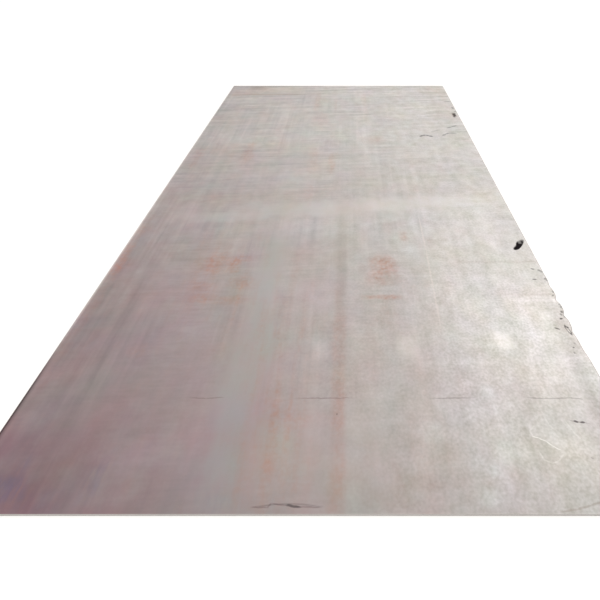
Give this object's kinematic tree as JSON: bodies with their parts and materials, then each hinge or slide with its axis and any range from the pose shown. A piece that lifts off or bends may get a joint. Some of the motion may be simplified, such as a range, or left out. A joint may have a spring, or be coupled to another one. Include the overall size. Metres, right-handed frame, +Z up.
{
  "type": "steel plate",
  "caption": "Hot-rolled steel plate with round mill edges along its length, sheared ends and a few surface pits.",
  "frame": {"origin": "under the middle of the plate, on the surface that it lies on", "axes": "+Y along the rolling direction, which is the plate's length; +X across it, towards the ragged mill edge; +Z up, out of the top face"},
  "size_m": [1.5, 3, 0.01],
  "materials": {
    "hot_rolled_steel": "hot-rolled steel, lightly rusted and scuffed, mill scale streaked along the rolling direction"
  },
  "bodies": {
    "root": {"steel_plate": "hot_rolled_steel"}
  },
  "joints": []
}
